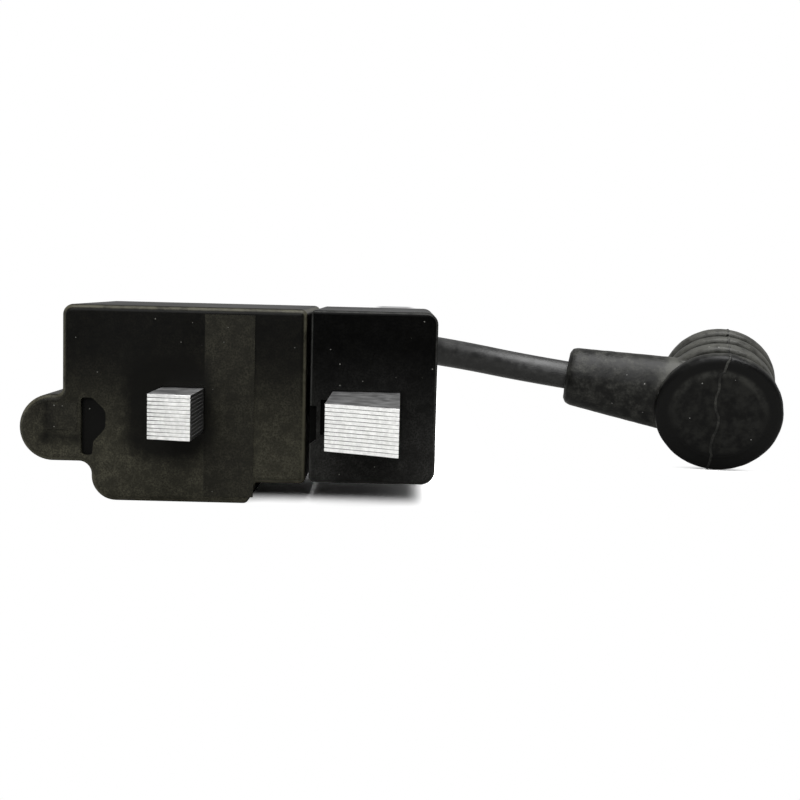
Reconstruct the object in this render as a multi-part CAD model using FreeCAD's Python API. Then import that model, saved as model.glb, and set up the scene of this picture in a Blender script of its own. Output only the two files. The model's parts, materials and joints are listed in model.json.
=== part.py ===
import FreeCAD, Part
import os
from math import cos, pi, radians, sin, tan

# Ignition coil of a small engine: a two-legged laminated core, a module case on the left leg,
# a coil case on the right leg, and a high tension lead that ends in a right-angle plug boot.
# Millimetres. X runs along the two cases, Y from the pole faces to the screw holes, Z up.
# The sizes below are written with Y = 0 at the front of the cases and Z = 0 at the surface that
# the part stands on. The last step moves X and Y so that the origin is below the rigid parts' centre.

Vec = FreeCAD.Vector

# ---- driving dimensions ---------------------------------------------------------------------

SHEET_COUNT = 12
SHEET_PITCH = 0.512
SHEET_GAP = 0.012
STACK_MIDDLE_Z = 13.23

LEFT_LEG_X = -9.5
LEFT_LEG_WIDTH = 6.0
RIGHT_LEG_X = 16.35
RIGHT_LEG_WIDTH = 9.5
POLE_ARC_RADIUS = 104.0
FLYWHEEL_CENTRE = (-33.7, -112.3)

CASE_DEPTH = 29.5
FRONT_WALL = 1.8
CASE_WALL = 1.3
THIN_WALL = 0.8
FRONT_EDGE_RADIUS = 0.9
TAB_DEPTH = 11.0
SPADE_X = (-29.6, -28.8)
SPADE_Z = (8.0, 12.75)
SPADE_LENGTH = 10.0
WINDOW_GAP = 0.12

MODULE_LEFT_X = -26.5
MODULE_RIGHT_X = 7.9
MODULE_TOP_Z = 27.7
MODULE_STEP_Z = 3.0
FOOT_LEFT_X = -22.4
FOOT_RIGHT_X = -0.3
TAB_LEFT_X = -32.6
TAB_BOTTOM_Z = 5.5
TAB_TOP_Z = 14.95
BAND_X = (-6.4, 0.6)
BAND_HEIGHT = 0.12
TAB_PAD_X = (-28.5, -24.3)
TAB_PAD_Z = (10.0, 13.8)
RECESS_DEPTH = 0.9

COIL_LEFT_X = 8.4
COIL_RIGHT_X = 26.25
COIL_TOP_Z = 27.65
COIL_BOTTOM_Z = 3.3
COIL_REAR_WALL_Z = 17.3

YOKE_FRONT_Y = 30.0
YOKE_DEPTH = 7.8
SCREW_SPACING = 43.6
SCREW_MIDDLE_X = 0.6
SCREW_HOLE_RADIUS = 2.2
BUSH_RADIUS = 2.8
RIVET_RADIUS = 1.0

LEAD_RADIUS = 2.5
LEAD_CORE_RADIUS = 0.7
SOCKET_DEPTH = 4.0
TOWER_RADIUS = 3.9
GROMMET_LENGTH = 3.6

# The lead's route: from the bottom of the tower's socket, round behind the coil case,
# to its end inside the boot's sleeve. Each inner point is a bend.
LEAD_ROUTE = [
    (14.70, 31.80, 21.20),
    (20.40, 44.60, 21.00),
    (31.46, 53.20, 19.20),
    (45.04, 55.80, 16.60),
    (58.15, 53.68, 14.91),
]
BEND_SHARE = 0.45

BOOT_YAW = 11.5
BOOT_TILT = 20.6
DISC_RADIUS = 11.0
BARREL_LENGTH = 17.5
RING_RADIUS = 10.1
NECK_RADIUS = 8.7
PLUG_SOCKET_RADIUS = 5.2
PLUG_SOCKET_START = 9.0
CLIP_CHAMBER_RADIUS = 4.3
CLIP_CHAMBER_START = 3.5
SLEEVE_OFFSET = 6.9
SLEEVE_LENGTH = 27.2
SLEEVE_GRIP = 7.1

BOARD_Z = 22.4
BOARD_THICKNESS = 1.2
LINK_Z = 19.6
LINK_YS = (24.0, 25.6)

# ---- values worked out from them ------------------------------------------------------------

SHEET_THICKNESS = SHEET_PITCH - SHEET_GAP
STACK_HEIGHT = SHEET_COUNT * SHEET_PITCH - SHEET_GAP
STACK_BOTTOM_Z = STACK_MIDDLE_Z - STACK_HEIGHT / 2
STACK_TOP_Z = STACK_MIDDLE_Z + STACK_HEIGHT / 2
SCREW_Y = YOKE_FRONT_Y + YOKE_DEPTH / 2
SCREW_XS = [SCREW_MIDDLE_X - SCREW_SPACING / 2, SCREW_MIDDLE_X + SCREW_SPACING / 2]
BOARD_TOP_Z = BOARD_Z + BOARD_THICKNESS
POTTING_REAR_Y = CASE_DEPTH - 0.3
POTTING_FRONT_Y = CASE_DEPTH - 2.2


# ---- shape helpers --------------------------------------------------------------------------

def block(x_range, y_range, z_range):
    """A box between three pairs of limits."""
    size = [high - low for low, high in (x_range, y_range, z_range)]
    return Part.makeBox(*size, Vec(x_range[0], y_range[0], z_range[0]))


def rod(start, end, radius):
    """A round bar from one point to another."""
    axis = Vec(*end) - Vec(*start)
    return Part.makeCylinder(radius, axis.Length, Vec(*start), axis)


def cone_bar(start, end, start_radius, end_radius):
    """A tapered round bar from one point to another."""
    axis = Vec(*end) - Vec(*start)
    return Part.makeCone(start_radius, end_radius, axis.Length, Vec(*start), axis)


def unit(vector):
    """The same direction with length 1."""
    return vector * (1.0 / vector.Length)


def along(start, direction, distance):
    """The point at a distance from start."""
    return Vec(*start) + direction * distance


def rounded_wire(corners):
    """A closed wire through (point, radius) corners, with a tangent arc at each rounded one."""
    edges = []
    stretches = []
    count = len(corners)
    for index, (corner, radius) in enumerate(corners):
        to_last = unit(corners[index - 1][0] - corner)
        to_next = unit(corners[(index + 1) % count][0] - corner)
        half_angle = to_last.getAngle(to_next) / 2
        trim = radius / tan(half_angle) if radius else 0
        bisector = unit(to_last + to_next)
        middle = corner + bisector * (radius / sin(half_angle) - radius)
        stretches.append((corner + to_last * trim, middle, corner + to_next * trim, radius))
    for index, (start, middle, end, radius) in enumerate(stretches):
        if radius:
            edges.append(Part.Arc(start, middle, end).toShape())
        next_start = stretches[(index + 1) % count][0]
        if (next_start - end).Length > 1e-6:
            edges.append(Part.LineSegment(end, next_start).toShape())
    return Part.Wire(edges)


def front_outline(corners):
    """A face in the plane Y = 0 from (x, z, radius) corners."""
    return Part.Face(rounded_wire([(Vec(x, 0, z), radius) for x, z, radius in corners]))


def plan_outline(corners):
    """A face in the plane Z = 0 from (x, y, radius) corners."""
    return Part.Face(rounded_wire([(Vec(x, y, 0), radius) for x, y, radius in corners]))


def pushed(face, y_range):
    """A face of the plane Y = 0 made solid between two depths."""
    solid = face.extrude(Vec(0, y_range[1] - y_range[0], 0))
    solid.translate(Vec(0, y_range[0], 0))
    return solid


def rounded_block(middle, size, y_range, radius):
    """A bar along Y with a rounded rectangular section, from its (x, z) middle and size."""
    x, z = middle
    half_x, half_z = size[0] / 2, size[1] / 2
    corners = [
        (x - half_x, z - half_z, radius),
        (x + half_x, z - half_z, radius),
        (x + half_x, z + half_z, radius),
        (x - half_x, z + half_z, radius),
    ]
    return pushed(front_outline(corners), y_range)


def sleeve_block(middle, outer, inner, y_range, radius):
    """A rounded rectangular tube along Y."""
    outside = rounded_block(middle, outer, y_range, radius)
    inner_radius = max(radius - (outer[0] - inner[0]) / 2, 0.1)
    return outside.cut(rounded_block(middle, inner, y_range, inner_radius))


def front_edges(solid):
    """The edges that lie in the front plane."""
    return [
        edge for edge in solid.Edges
        if all(abs(vertex.Y) < 1e-6 for vertex in edge.Vertexes)
        and abs(edge.CenterOfMass.y) < 1e-6
    ]


def joined(shapes):
    """Several touching or crossing solids as one."""
    return shapes[0].fuse(shapes[1:]).removeSplitter()


def group(solids):
    """Separate solids kept together as one named piece."""
    return Part.makeCompound([part for solid in solids for part in solid.Solids])


def bend_radii(route):
    """The radius at each inner point of a route: as large as its two runs allow."""
    points = [Vec(*point) for point in route]
    radii = []
    for before, corner, after in zip(points, points[1:], points[2:]):
        turn = (corner - before).getAngle(after - corner)
        shorter = min((corner - before).Length, (after - corner).Length)
        radii.append(BEND_SHARE * shorter / tan(turn / 2))
    return radii


def route_wire(route, radii):
    """Straight runs joined by tangent arcs."""
    points = [Vec(*point) for point in route]
    edges = []
    last = points[0]
    for corner, before, after, radius in zip(points[1:], points, points[2:], radii):
        to_last = unit(before - corner)
        to_next = unit(after - corner)
        half_angle = to_last.getAngle(to_next) / 2
        trim = radius / tan(half_angle)
        start = corner + to_last * trim
        end = corner + to_next * trim
        middle = corner + unit(to_last + to_next) * (radius / sin(half_angle) - radius)
        edges.append(Part.LineSegment(last, start).toShape())
        edges.append(Part.Arc(start, middle, end).toShape())
        last = end
    edges.append(Part.LineSegment(last, points[-1]).toShape())
    return Part.Wire(edges)


def tube_on(wire, route, radius):
    """A round solid swept along a route's wire."""
    start = Vec(*route[0])
    circle = Part.Wire(Part.makeCircle(radius, start, Vec(*route[1]) - start))
    return wire.makePipeShell([circle], True, True)


# ---- laminated core -------------------------------------------------------------------------

def sheets_of(outline, cutter=None):
    """The stack of equal sheets with one outline."""
    stack = []
    for index in range(SHEET_COUNT):
        sheet = outline.extrude(Vec(0, 0, SHEET_THICKNESS))
        sheet.translate(Vec(0, 0, STACK_BOTTOM_Z + index * SHEET_PITCH))
        stack.append(sheet.cut(cutter) if cutter else sheet)
    return stack


def flywheel_sweep():
    """The space that the flywheel's magnets turn in, which shapes the pole faces."""
    x, y = FLYWHEEL_CENTRE
    return Part.makeCylinder(POLE_ARC_RADIUS, 60, Vec(x, y, -15), Vec(0, 0, 1))


def key_corners(middle_x, width, play):
    """The dovetail at the root of a leg: narrow at the yoke's edge, wider inside."""
    neck = width * 0.24 - play
    tail = width * 0.30 - play
    depth = YOKE_FRONT_Y + YOKE_DEPTH * 0.46 - play
    return [
        (middle_x + neck, YOKE_FRONT_Y),
        (middle_x + tail, depth),
        (middle_x - tail, depth),
        (middle_x - neck, YOKE_FRONT_Y),
    ]


def leg_outline(middle_x, width):
    """A leg from ahead of its pole face to its dovetail."""
    half = width / 2
    key = key_corners(middle_x, width, 0.01)
    corners = [(middle_x - half, -40), (middle_x + half, -40), (middle_x + half, YOKE_FRONT_Y)]
    corners += key + [(middle_x - half, YOKE_FRONT_Y)]
    return plan_outline([(x, y, 0) for x, y in corners])


def rivet_places():
    """Two rivets through the yoke, and one through the root of each leg."""
    root_y = YOKE_FRONT_Y + 1.9
    return [(-15.4, SCREW_Y), (2.5, SCREW_Y), (LEFT_LEG_X, root_y), (RIGHT_LEG_X, root_y)]


def upright_hole(place, radius):
    """A hole right through the stack."""
    return rod((*place, 0), (*place, 30), radius)


def leg_sheets(middle_x, width):
    """The stack of one leg."""
    cutters = [flywheel_sweep()] + [upright_hole(place, RIVET_RADIUS) for place in rivet_places()]
    return group(sheets_of(leg_outline(middle_x, width), Part.makeCompound(cutters)))


def yoke_sheets():
    """The stack that joins the legs, round at both ends about the screw holes."""
    half = YOKE_DEPTH / 2
    left, right = SCREW_XS[0] - half, SCREW_XS[1] + half
    front, rear = YOKE_FRONT_Y, YOKE_FRONT_Y + YOKE_DEPTH
    soft = half - 0.02
    ends = [(left, front), (right, front), (right, rear), (left, rear)]
    outline = plan_outline([(x, y, soft) for x, y in ends])
    for middle_x, width in ((LEFT_LEG_X, LEFT_LEG_WIDTH), (RIGHT_LEG_X, RIGHT_LEG_WIDTH)):
        notch = plan_outline([(x, y, 0) for x, y in key_corners(middle_x, width, 0)])
        outline = outline.cut(notch)
    holes = [upright_hole(place, RIVET_RADIUS) for place in rivet_places()]
    holes += [upright_hole((x, SCREW_Y), BUSH_RADIUS) for x in SCREW_XS]
    return group(sheets_of(outline, Part.makeCompound(holes)))


def core_rivets():
    """Rivets with a low round head at each end. One also holds the earth strap."""
    rivets = []
    for index, (x, y) in enumerate(rivet_places()):
        lift = 0.3 if index == 1 else 0.0
        top = STACK_TOP_Z + lift
        shank = rod((x, y, STACK_BOTTOM_Z), (x, y, top), RIVET_RADIUS)
        upper = cone_bar((x, y, top), (x, y, top + 0.6), 1.7, 1.2)
        lower = cone_bar((x, y, STACK_BOTTOM_Z), (x, y, STACK_BOTTOM_Z - 0.6), 1.7, 1.2)
        rivets.append(joined([shank, upper, lower]))
    return group(rivets)


def mounting_bushes():
    """A steel bush with a rolled rim in each screw hole."""
    bushes = []
    for x in SCREW_XS:
        body = rod((x, SCREW_Y, STACK_BOTTOM_Z - 0.35), (x, SCREW_Y, STACK_TOP_Z + 0.35), BUSH_RADIUS)
        upper = rod((x, SCREW_Y, STACK_TOP_Z), (x, SCREW_Y, STACK_TOP_Z + 0.35), BUSH_RADIUS + 0.6)
        lower = rod((x, SCREW_Y, STACK_BOTTOM_Z - 0.35), (x, SCREW_Y, STACK_BOTTOM_Z), BUSH_RADIUS + 0.6)
        bore = upright_hole((x, SCREW_Y), SCREW_HOLE_RADIUS)
        bushes.append(joined([body, upper, lower]).cut(bore))
    return group(bushes)


# ---- module case ----------------------------------------------------------------------------

def module_corners():
    """The outline of the module case without its tab."""
    return [
        (MODULE_LEFT_X, MODULE_TOP_Z, 1.5),
        (MODULE_RIGHT_X, MODULE_TOP_Z, 1.0),
        (MODULE_RIGHT_X, MODULE_STEP_Z, 0.8),
        (FOOT_RIGHT_X + 1.2, MODULE_STEP_Z, 0.3),
        (FOOT_RIGHT_X, 0, 0.8),
        (FOOT_LEFT_X, 0, 3.5),
        (FOOT_LEFT_X, TAB_BOTTOM_Z, 0),
        (MODULE_LEFT_X, TAB_BOTTOM_Z, 0),
    ]


def tab_corners():
    """The tab with its half-round end, reaching into the case."""
    soft = (TAB_TOP_Z - TAB_BOTTOM_Z) / 2 - 0.02
    return [
        (TAB_LEFT_X, TAB_TOP_Z, soft),
        (MODULE_LEFT_X + 2, TAB_TOP_Z, 0),
        (MODULE_LEFT_X + 2, TAB_BOTTOM_Z, 0),
        (TAB_LEFT_X, TAB_BOTTOM_Z, soft),
    ]


def leg_window(middle_x, width):
    """The opening in a case's front wall for a leg."""
    low, high = STACK_BOTTOM_Z - WINDOW_GAP, STACK_TOP_Z + WINDOW_GAP
    half = width / 2 + WINDOW_GAP
    return block((middle_x - half, middle_x + half), (-1, FRONT_WALL + 0.5), (low, high))


def corner_fillet_post(x, z, radius, y_range, turn):
    """The material that rounds an inner corner at (x, z). turn gives the corner's open quarter."""
    side_x, side_z = turn
    square = block(sorted((x, x + side_x * radius)), y_range, sorted((z, z + side_z * radius)))
    round_x, round_z = x + side_x * radius, z + side_z * radius
    return square.cut(rod((round_x, y_range[0] - 1, round_z), (round_x, y_range[1] + 1, round_z), radius))


def link_holes():
    """The two holes for the wires between the cases."""
    left, right = MODULE_RIGHT_X - 2, COIL_LEFT_X + 1.5
    return [rod((left, y, LINK_Z), (right, y, LINK_Z), 0.45) for y in LINK_YS]


def tab_recess():
    """The D-shaped sink in the module case's front, where the tab meets it."""
    recess = front_outline([
        (-23.8, 14.6, 0.5),
        (-22.2, 14.6, 1.0),
        (-20.3, 12.8, 1.4),
        (-20.3, 10.3, 1.4),
        (-22.0, 8.4, 0.8),
        (-22.2, 6.4, 0.5),
        (-23.8, 6.4, 0.5),
    ])
    return pushed(recess, (-1, RECESS_DEPTH))


def module_case():
    """The left moulding: a box open at the rear, with tab, foot, stepped side, raised band and tab pad."""
    depth = (0, CASE_DEPTH)
    body = pushed(front_outline(module_corners()), depth)
    tab = pushed(front_outline(tab_corners()), (0, TAB_DEPTH))
    under_tab = corner_fillet_post(FOOT_LEFT_X, TAB_BOTTOM_Z, 1.8, (0, TAB_DEPTH), (-1, -1))
    over_tab = corner_fillet_post(MODULE_LEFT_X, TAB_TOP_Z, 0.9, (0, TAB_DEPTH), (-1, 1))
    shell = joined([body, tab, under_tab, over_tab])
    shell = shell.makeFillet(FRONT_EDGE_RADIUS, front_edges(shell))
    band = block(BAND_X, (-BAND_HEIGHT, 0.2), (1.0, MODULE_TOP_Z - 1.0))
    pad = block(TAB_PAD_X, (-BAND_HEIGHT, 0.2), TAB_PAD_Z)
    shell = joined([shell, band, pad])
    inner = front_outline(module_corners()).makeOffset2D(-CASE_WALL)
    shell = shell.cut(pushed(inner, (FRONT_WALL, CASE_DEPTH + 1)))
    openings = [tab_recess(), leg_window(LEFT_LEG_X, LEFT_LEG_WIDTH), kill_terminal()]
    return shell.cut(openings + link_holes())


def kill_terminal():
    """A brass spade in the tab that points rearward, with a tail that reaches into the case."""
    low, high, tip = SPADE_Z[0], SPADE_Z[1], TAB_DEPTH + SPADE_LENGTH
    blade = block(SPADE_X, (4.0, tip), SPADE_Z)
    bevel = Part.makeBox(4, 4, 4, Vec(SPADE_X[0] - 1.4, 0, 0))
    bevel.rotate(Vec(SPADE_X[0] - 1.4, 0, 0), Vec(1, 0, 0), 45)
    upper = bevel.translated(Vec(0, tip, high - 1.2))
    lower = bevel.translated(Vec(0, tip, low + 1.2 - 4 * 2 ** 0.5))
    middle_z = (low + high) / 2
    hole = rod((SPADE_X[0] - 1, tip - 3.5, middle_z), (SPADE_X[1] + 1, tip - 3.5, middle_z), 0.85)
    tail = block((SPADE_X[0], -22.6), (4.0, 5.2), (9.6, 11.2))
    return joined([blade, tail]).cut([upper, lower, hole])


# ---- coil case ------------------------------------------------------------------------------

def tower_direction():
    """The way the lead leaves the tower."""
    return unit(Vec(*LEAD_ROUTE[1]) - Vec(*LEAD_ROUTE[0]))


def coil_case():
    """The right moulding: a box open at the lower rear, with the lead's tower above."""
    corners = [
        (COIL_LEFT_X, COIL_TOP_Z, 0.6),
        (COIL_RIGHT_X, COIL_TOP_Z, 1.7),
        (COIL_RIGHT_X, COIL_BOTTOM_Z, 2.0),
        (COIL_LEFT_X, COIL_BOTTOM_Z, 0.8),
    ]
    outline = front_outline(corners)
    shell = pushed(outline, (0, CASE_DEPTH))
    shell = shell.makeFillet(0.55, front_edges(shell))
    inner = outline.makeOffset2D(-THIN_WALL)
    shell = shell.cut(pushed(inner, (FRONT_WALL, CASE_DEPTH - CASE_WALL)))
    mouth = pushed(inner, (CASE_DEPTH - CASE_WALL - 0.1, CASE_DEPTH + 1))
    below = block((0, 40), (20, 40), (0, COIL_REAR_WALL_Z))
    shell = shell.cut(mouth.common(below))
    socket_bottom = Vec(*LEAD_ROUTE[0])
    direction = tower_direction()
    mouth_point = along(socket_bottom, direction, SOCKET_DEPTH)
    tower = rod(along(socket_bottom, direction, -3.6), mouth_point, TOWER_RADIUS)
    shell = joined([shell, tower])
    socket = rod(socket_bottom, along(mouth_point, direction, 1), LEAD_RADIUS)
    pin_way = rod(along(socket_bottom, direction, -7), socket_bottom, 0.6)
    notch = front_outline([(8.0, 14.2, 0), (9.4, 14.2, 0), (9.4, 9.4, 0), (8.0, 8.4, 0)])
    pocket = pushed(notch, (-1, 1.0))
    beside_leg = block((9.95, RIGHT_LEG_X), (-1, 0.9), (STACK_BOTTOM_Z - WINDOW_GAP, STACK_TOP_Z - 1.2))
    window = leg_window(RIGHT_LEG_X, RIGHT_LEG_WIDTH)
    return shell.cut([socket, pin_way, pocket, beside_leg, window] + link_holes())


def ht_contact_pin():
    """A brass pin from the secondary winding's side to the lead's conductor."""
    start = along(LEAD_ROUTE[0], tower_direction(), -6.4)
    head_end = along(LEAD_ROUTE[0], tower_direction(), -5.3)
    pin = rod(start, LEAD_ROUTE[0], 0.6)
    head = rod(start, head_end, 1.4)
    return joined([pin, head])


def lead_grommet():
    """A tapered rubber collar outside the tower's mouth, with two shallow grooves."""
    direction = tower_direction()
    mouth = along(LEAD_ROUTE[0], direction, SOCKET_DEPTH)
    tip = along(mouth, direction, GROMMET_LENGTH)
    collar = cone_bar(mouth, tip, 3.7, 3.05)
    grooves = []
    for share in (0.35, 0.65):
        start = along(mouth, direction, GROMMET_LENGTH * share)
        end = along(start, direction, 0.4)
        grooves.append(rod(start, end, 5).cut(rod(start, end, 3.05)))
    return collar.cut([rod(mouth, tip, LEAD_RADIUS)] + grooves)


# ---- windings -------------------------------------------------------------------------------

LEFT_AXIS = (LEFT_LEG_X, STACK_MIDDLE_Z)
RIGHT_AXIS = (RIGHT_LEG_X, STACK_MIDDLE_Z)


def around(width, thickness, play):
    """The section that goes round a leg at a distance of play + thickness on every side."""
    return (width + 2 * (play + thickness), STACK_HEIGHT + 2 * (play + thickness))


def charge_bobbin():
    """The left leg's bobbin: a tube with end flanges and one between its two windings."""
    inner = around(LEFT_LEG_WIDTH, 0, 0.15)
    tube = sleeve_block(LEFT_AXIS, around(LEFT_LEG_WIDTH, 0.7, 0.15), inner, (2.2, 26.0), 1.0)
    flanges = [
        sleeve_block(LEFT_AXIS, around(LEFT_LEG_WIDTH, 3.4, 0.15), inner, (y, y + 0.9), 1.6)
        for y in (2.2, 17.6, 25.1)
    ]
    return joined([tube] + flanges)


def charge_winding():
    """The charge coil between the first two flanges."""
    outer = around(LEFT_LEG_WIDTH, 2.8, 0.15)
    return sleeve_block(LEFT_AXIS, outer, around(LEFT_LEG_WIDTH, 0.7, 0.15), (3.1, 17.6), 1.5)


def trigger_winding():
    """The smaller trigger coil behind it."""
    outer = around(LEFT_LEG_WIDTH, 2.0, 0.15)
    return sleeve_block(LEFT_AXIS, outer, around(LEFT_LEG_WIDTH, 0.7, 0.15), (18.5, 25.1), 1.3)


def primary_bobbin():
    """The right leg's inner bobbin, with low end flanges."""
    inner = around(RIGHT_LEG_WIDTH, 0, 0.1)
    tube = sleeve_block(RIGHT_AXIS, around(RIGHT_LEG_WIDTH, 0.4, 0.1), inner, (2.2, 27.0), 0.5)
    flanges = [
        sleeve_block(RIGHT_AXIS, around(RIGHT_LEG_WIDTH, 1.0, 0.1), inner, (y, y + 0.7), 0.9)
        for y in (2.2, 26.3)
    ]
    return joined([tube] + flanges)


def primary_winding():
    """A few layers of thicker wire on the inner bobbin."""
    outer = around(RIGHT_LEG_WIDTH, 0.9, 0.1)
    return sleeve_block(RIGHT_AXIS, outer, around(RIGHT_LEG_WIDTH, 0.4, 0.1), (2.9, 26.3), 0.8)


def insulation_wrap():
    """Polyester tape over the primary winding."""
    outer = around(RIGHT_LEG_WIDTH, 1.0, 0.1)
    return sleeve_block(RIGHT_AXIS, outer, around(RIGHT_LEG_WIDTH, 0.9, 0.1), (2.9, 26.3), 0.9)


def secondary_chambers():
    """The front and rear of each of the outer bobbin's chambers."""
    first, last, wall, count = 3.4, 25.6, 0.5, 6
    pitch = (last - first - wall) / count
    return [(first + wall + index * pitch, first + (index + 1) * pitch) for index in range(count)]


def secondary_bobbin():
    """The outer bobbin, with thin walls that split the high voltage into chambers."""
    inner = around(RIGHT_LEG_WIDTH, 1.03, 0.1)
    tube = sleeve_block(RIGHT_AXIS, around(RIGHT_LEG_WIDTH, 1.4, 0.1), inner, (3.4, 25.6), 1.2)
    starts = [3.4] + [rear for front, rear in secondary_chambers()]
    walls = [
        sleeve_block(RIGHT_AXIS, around(RIGHT_LEG_WIDTH, 2.15, 0.1), inner, (y, y + 0.5), 1.6)
        for y in starts
    ]
    return joined([tube] + walls)


def secondary_winding():
    """Fine wire in each chamber."""
    outer = around(RIGHT_LEG_WIDTH, 2.0, 0.1)
    inner = around(RIGHT_LEG_WIDTH, 1.4, 0.1)
    rings = [sleeve_block(RIGHT_AXIS, outer, inner, chamber, 1.5) for chamber in secondary_chambers()]
    return group(rings)


# ---- electronics ----------------------------------------------------------------------------

def circuit_board():
    """The board above the left leg, drilled for the parts' legs."""
    board = block((-24.2, 6.0), (3.0, 26.4), (BOARD_Z, BOARD_TOP_Z))
    return board.cut([leg for part in board_parts() for leg in lead_holes(part)])


def board_parts():
    """Middle and half length of each part that lies on the board with two bent legs."""
    diodes = [(-19.0, 10.0, 3.6), (-14.5, 10.0, 3.6), (-10.0, 10.0, 3.6)]
    resistors = [(-19.0, 20.0, 4.2), (-14.5, 20.0, 4.2), (-10.0, 20.0, 4.2), (-5.5, 20.0, 4.2)]
    return diodes + resistors


def lead_holes(part):
    """The two holes for one part's legs."""
    x, y, half = part
    low, high = BOARD_Z - 1, BOARD_TOP_Z + 1
    return [rod((x, leg_y, low), (x, leg_y, high), 0.3) for leg_y in (y - half, y + half)]


def axial_part(part, radius, body_half):
    """A round body that lies on the board, with a leg bent down at each end."""
    x, y, half = part
    z = BOARD_TOP_Z + radius + 0.02
    body = rod((x, y - body_half, z), (x, y + body_half, z), radius)
    wire = rod((x, y - half, z), (x, y + half, z), 0.28)
    ends = (y - half, y + half)
    legs = [rod((x, leg_y, BOARD_Z - 0.8), (x, leg_y, z), 0.28) for leg_y in ends]
    elbows = [Part.makeSphere(0.28, Vec(x, leg_y, z)) for leg_y in ends]
    return joined([body, wire] + legs + elbows)


def diodes():
    """The rectifier diodes."""
    return group([axial_part(part, 1.2, 2.3) for part in board_parts()[:3]])


def resistors():
    """The timing and gate resistors."""
    return group([axial_part(part, 1.05, 3.0) for part in board_parts()[3:]])


def control_chip():
    """An eight-legged timing chip that lies on the board."""
    body = block((-3.6, 1.4), (6.0, 10.6), (BOARD_TOP_Z + 0.25, BOARD_TOP_Z + 1.9))
    legs = []
    for row in range(4):
        y = 6.5 + row * 1.2
        for side_x, out in ((-3.6, -0.9), (1.4, 0.9)):
            near, far = sorted((side_x, side_x + out))
            legs.append(block((near, far), (y - 0.2, y + 0.2), (BOARD_TOP_Z + 0.6, BOARD_TOP_Z + 0.8)))
            foot_x = sorted((side_x + out, side_x + out * 1.25))
            legs.append(block(foot_x, (y - 0.2, y + 0.2), (BOARD_TOP_Z, BOARD_TOP_Z + 0.8)))
    return joined([body] + legs)


def thyristor():
    """The switch: a flat-sided round body below the board, with three legs up to it."""
    x, y, low = -20.6, 8.0, 16.6
    body = rod((x, y, low), (x, y, low + 4.6), 2.4)
    flat = block((x - 3, x + 3), (y - 3, y - 1.4), (low - 1, low + 6))
    legs = [
        block((leg_x - 0.22, leg_x + 0.22), (y - 0.2, y + 0.2), (low + 4.6, BOARD_Z))
        for leg_x in (x - 1.27, x, x + 1.27)
    ]
    return joined([body.cut(flat)] + legs)


def discharge_capacitor():
    """The film capacitor that stores the charge, between the left leg and the coil case."""
    body = rounded_block((2.2, 15.4), (6.6, 12.4), (5.0, 20.0), 0.8)
    legs = [rod((2.2, y, 21.5), (2.2, y, BOARD_Z), 0.3) for y in (7.5, 17.5)]
    return joined([body] + legs)


def winding_wires():
    """Wires from the two left windings up to the board, and from the kill tail."""
    charge_top = STACK_MIDDLE_Z + around(LEFT_LEG_WIDTH, 2.8, 0.15)[1] / 2
    trigger_top = STACK_MIDDLE_Z + around(LEFT_LEG_WIDTH, 2.0, 0.15)[1] / 2
    wires = [rod((x, 5.0, charge_top), (x, 5.0, BOARD_Z), 0.25) for x in (-12.0, -7.0)]
    wires += [rod((x, 22.0, trigger_top), (x, 22.0, BOARD_Z), 0.25) for x in (-12.0, -7.0)]
    wires.append(rod((-23.2, 4.6, 11.2), (-23.2, 4.6, BOARD_Z), 0.35))
    return group(wires)


def primary_links():
    """The two wires from the module case to the primary winding."""
    links = []
    for y in LINK_YS:
        across = rod((4.6, y, LINK_Z), (11.2, y, LINK_Z), 0.35)
        rise = rod((4.6, y, LINK_Z), (4.6, y, BOARD_Z), 0.35)
        corner = Part.makeSphere(0.35, Vec(4.6, y, LINK_Z))
        end = Part.makeSphere(0.35, Vec(11.2, y, LINK_Z))
        links.append(joined([across, rise, corner, end]))
    return group(links)


def earth_strap():
    """A tinned strip from the board, through the potting, to a rivet of the core."""
    rise = block((1.3, 3.7), (26.5, 26.8), (STACK_TOP_Z, BOARD_Z))
    tongue = block((1.3, 3.7), (26.5, SCREW_Y + 1.9), (STACK_TOP_Z, STACK_TOP_Z + 0.3))
    return joined([rise, tongue]).cut(upright_hole(rivet_places()[1], RIVET_RADIUS))


# ---- potting --------------------------------------------------------------------------------

def module_potting():
    """The resin that closes the module case at the rear."""
    inner = front_outline(module_corners()).makeOffset2D(-CASE_WALL)
    slab = pushed(inner, (POTTING_FRONT_Y, POTTING_REAR_Y))
    leg = rounded_block(LEFT_AXIS, (LEFT_LEG_WIDTH, STACK_HEIGHT), (0, 40), 0.01)
    return slab.cut([leg, earth_strap()])


def coil_potting():
    """The resin that closes the lower rear of the coil case."""
    low_x, high_x = COIL_LEFT_X + THIN_WALL, COIL_RIGHT_X - THIN_WALL
    corners = [
        (low_x, COIL_REAR_WALL_Z, 0),
        (high_x, COIL_REAR_WALL_Z, 0),
        (high_x, COIL_BOTTOM_Z + THIN_WALL, 1.2),
        (low_x, COIL_BOTTOM_Z + THIN_WALL, 0),
    ]
    slab = pushed(front_outline(corners), (POTTING_FRONT_Y, POTTING_REAR_Y))
    leg = rounded_block(RIGHT_AXIS, (RIGHT_LEG_WIDTH, STACK_HEIGHT), (0, 40), 0.01)
    return slab.cut(leg)


# ---- lead and boot --------------------------------------------------------------------------

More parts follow.
